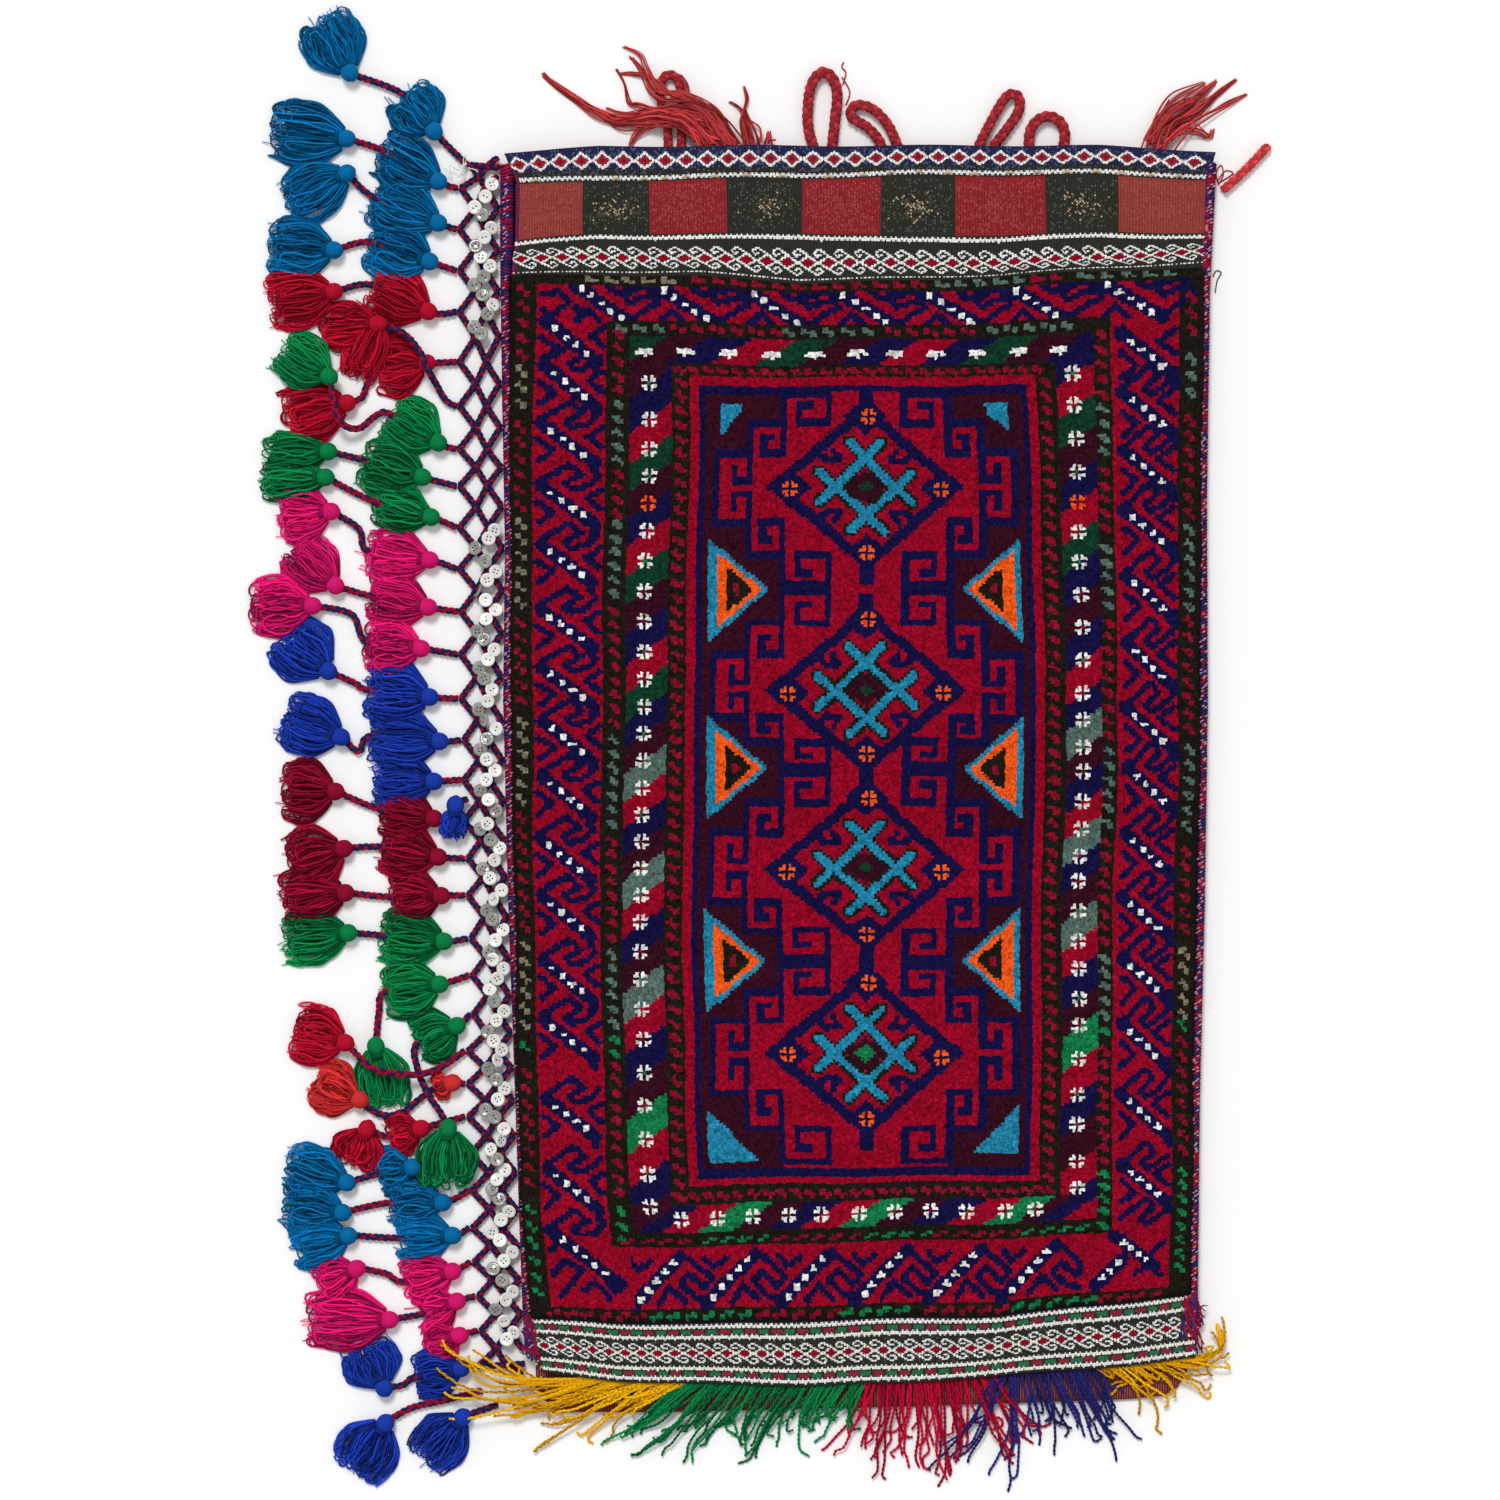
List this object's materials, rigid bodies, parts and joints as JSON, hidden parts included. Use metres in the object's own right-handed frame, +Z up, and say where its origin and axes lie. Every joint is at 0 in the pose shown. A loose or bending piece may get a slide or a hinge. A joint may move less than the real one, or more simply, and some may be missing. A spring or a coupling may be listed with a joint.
{
  "type": "pillow bag",
  "caption": "Flat woven bag with a knotted-pile face, a plain woven back, an open mouth with closure cords, a button net with tasselled braids down one side and a yarn fringe.",
  "frame": {"origin": "on the underside of the back panel at the bag's middle, at floor level", "axes": "+Z up out of the pile face, +Y towards the open mouth, +X away from the button net and its tassels"},
  "size_m": [0.7135, 1.0317, 0.0182],
  "materials": {
    "pile_wool": "knotted wool pile with flatwoven ends, many colours",
    "back_weave": "plain weave, matt",
    "binding_yarn": "overcast yarn in red and navy",
    "seam_yarn": "undyed yarn stitches",
    "net_braid": "braided yarn with white shirt buttons sewn on",
    "closure_cord": "braided cord",
    "yarn_crimson": "plied yarn",
    "yarn_green": "plied yarn",
    "yarn_navy": "plied yarn",
    "yarn_yellow": "plied yarn",
    "yarn_teal": "plied yarn",
    "yarn_red": "plied yarn",
    "yarn_pink": "plied yarn",
    "yarn_royal": "plied yarn",
    "yarn_wine": "plied yarn",
    "yarn_coral": "plied yarn"
  },
  "bodies": {
    "root": {"front_panel": "pile_wool", "back_panel": "back_weave", "binding_left": "binding_yarn", "binding_right": "binding_yarn", "bottom_seam": "seam_yarn", "button_net": "net_braid", "closure_loop_1": "closure_cord", "closure_loop_2": "closure_cord", "closure_loop_3": "closure_cord", "closure_loop_4": "closure_cord", "closure_loop_5": "closure_cord", "cord_end_right": "closure_cord", "frayed_end_left": "closure_cord", "frayed_end_right": "closure_cord", "frayed_tuft": "closure_cord", "fringe_crimson": "yarn_crimson", "fringe_green": "yarn_green", "fringe_navy": "yarn_navy", "fringe_yellow_left": "yarn_yellow", "fringe_yellow_right": "yarn_yellow", "tassel_strand_01": "yarn_teal", "tassel_strand_02": "yarn_teal", "tassel_strand_03": "yarn_teal", "tassel_strand_04": "yarn_teal", "tassel_strand_05": "yarn_red", "tassel_strand_06": "yarn_red", "tassel_strand_07": "yarn_red", "tassel_strand_08": "yarn_green", "tassel_strand_09": "yarn_green", "tassel_strand_10": "yarn_green", "tassel_strand_11": "yarn_pink", "tassel_strand_12": "yarn_pink", "tassel_strand_13": "yarn_pink", "tassel_strand_14": "yarn_royal", "tassel_strand_15": "yarn_royal", "tassel_strand_16": "yarn_royal", "tassel_strand_17": "yarn_royal", "tassel_strand_18": "yarn_wine", "tassel_strand_19": "yarn_wine", "tassel_strand_20": "yarn_wine", "tassel_strand_21": "yarn_green", "tassel_strand_22": "yarn_green", "tassel_strand_23": "yarn_green", "tassel_strand_24": "yarn_red", "tassel_strand_25": "yarn_coral", "tassel_strand_26": "yarn_red", "tassel_strand_27": "yarn_teal", "tassel_strand_28": "yarn_teal", "tassel_strand_29": "yarn_teal", "tassel_strand_30": "yarn_pink", "tassel_strand_31": "yarn_pink", "tassel_strand_32": "yarn_pink", "tassel_strand_33": "yarn_royal", "tassel_strand_34": "yarn_royal", "tassel_strand_35": "yarn_royal"}
  },
  "joints": []
}
